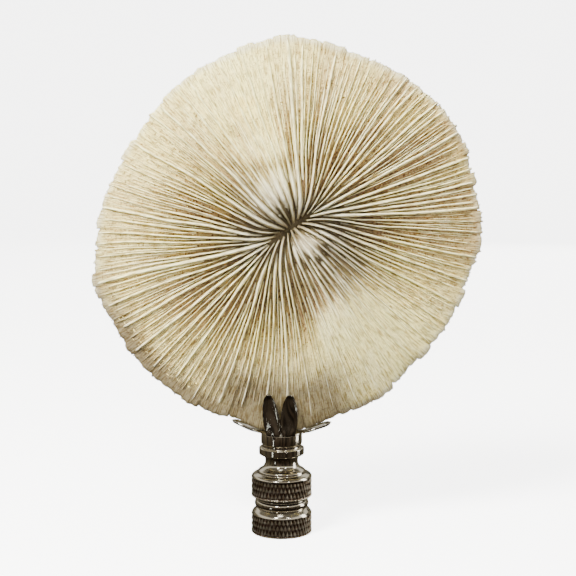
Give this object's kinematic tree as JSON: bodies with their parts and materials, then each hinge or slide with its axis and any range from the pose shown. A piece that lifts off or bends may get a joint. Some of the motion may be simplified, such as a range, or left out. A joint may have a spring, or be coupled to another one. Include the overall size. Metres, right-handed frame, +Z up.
{
  "type": "mushroom coral lamp shade finial",
  "caption": "Mushroom coral disc on edge in a petal crown, on a small turned base with knurled bands and a blind threaded socket.",
  "frame": {"origin": "where the axis of the base's threaded socket meets the base's flat underside", "axes": "+Z up along the socket's axis, -Y the way the gilled face of the coral looks, +X to the right of someone who looks at that face"},
  "size_m": [0.0802, 0.0143, 0.1025],
  "materials": {
    "aragonite": "matte bleached coral skeleton, cream on the crests and tan in the grooves",
    "stamped_nickel": "polished dark nickel plate on stamped brass",
    "turned_nickel": "polished dark nickel plate on turned and knurled brass"
  },
  "bodies": {
    "root": {"coral_disc": "aragonite", "petal_crown": "stamped_nickel", "knurled_base": "turned_nickel"}
  },
  "joints": []
}
